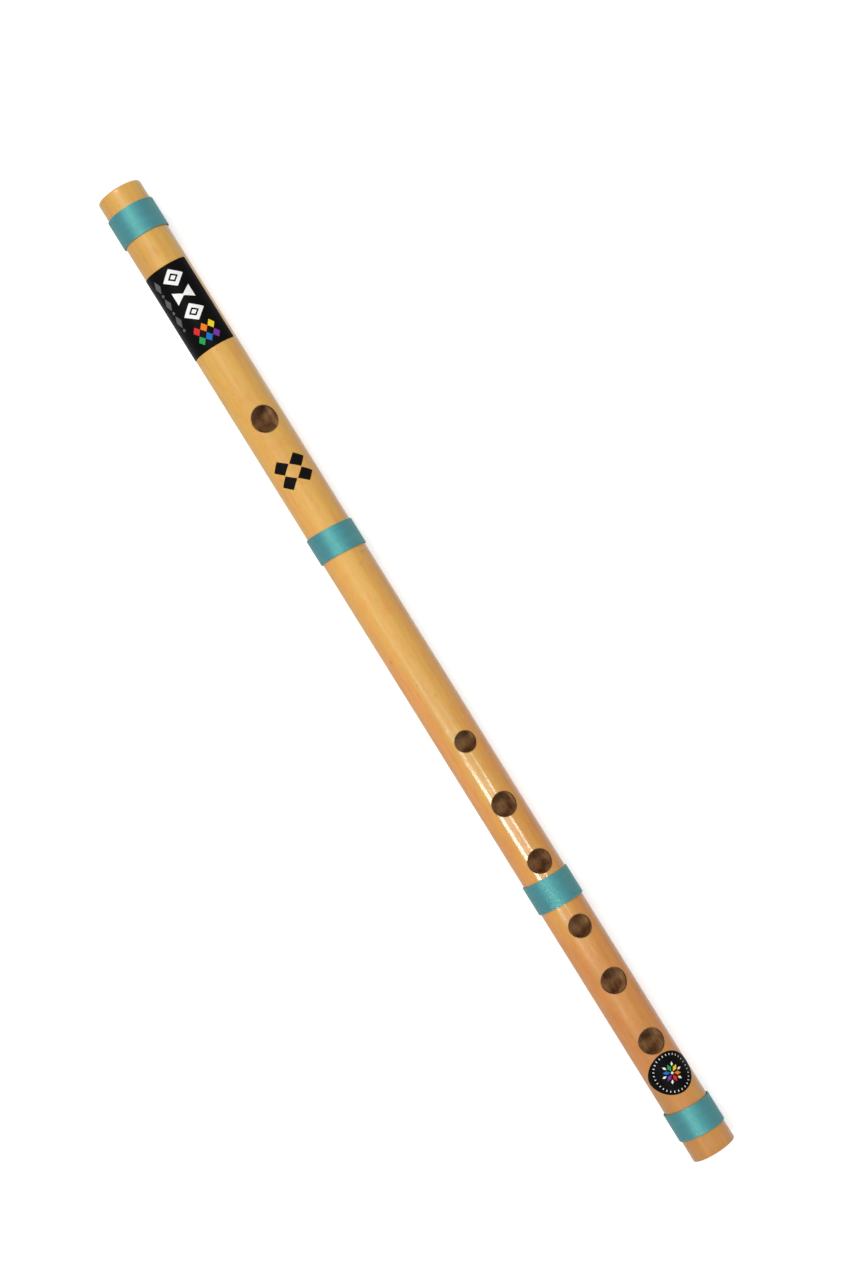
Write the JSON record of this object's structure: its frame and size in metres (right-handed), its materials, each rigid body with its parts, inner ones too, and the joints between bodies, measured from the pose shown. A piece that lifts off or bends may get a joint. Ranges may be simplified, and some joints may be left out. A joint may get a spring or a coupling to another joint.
{
  "type": "bansuri flute",
  "caption": "Keyless side-blown bamboo flute: one open tube stopped by a cork, with an oval blowing hole, round finger holes in line, thread bindings and two plain film labels.",
  "frame": {"origin": "under the middle of the flute's length, on the surface that it lies on", "axes": "+X along the bore from the head end to the open foot end; +Z out of the blowing hole and the finger holes; +Y across the flute"},
  "size_m": [0.351, 0.016, 0.0159],
  "materials": {
    "bamboo": "clear-lacquered bamboo, tan with a warmer foot end",
    "cork": "natural cork",
    "thread": "satin teal thread, wound side by side",
    "label": "black printed film"
  },
  "bodies": {
    "root": {"bamboo_tube": "bamboo", "stopper_cork": "cork", "binding_head": "thread", "binding_middle": "thread", "binding_hand": "thread", "binding_foot": "thread", "label_long": "label", "label_round": "label"}
  },
  "joints": []
}
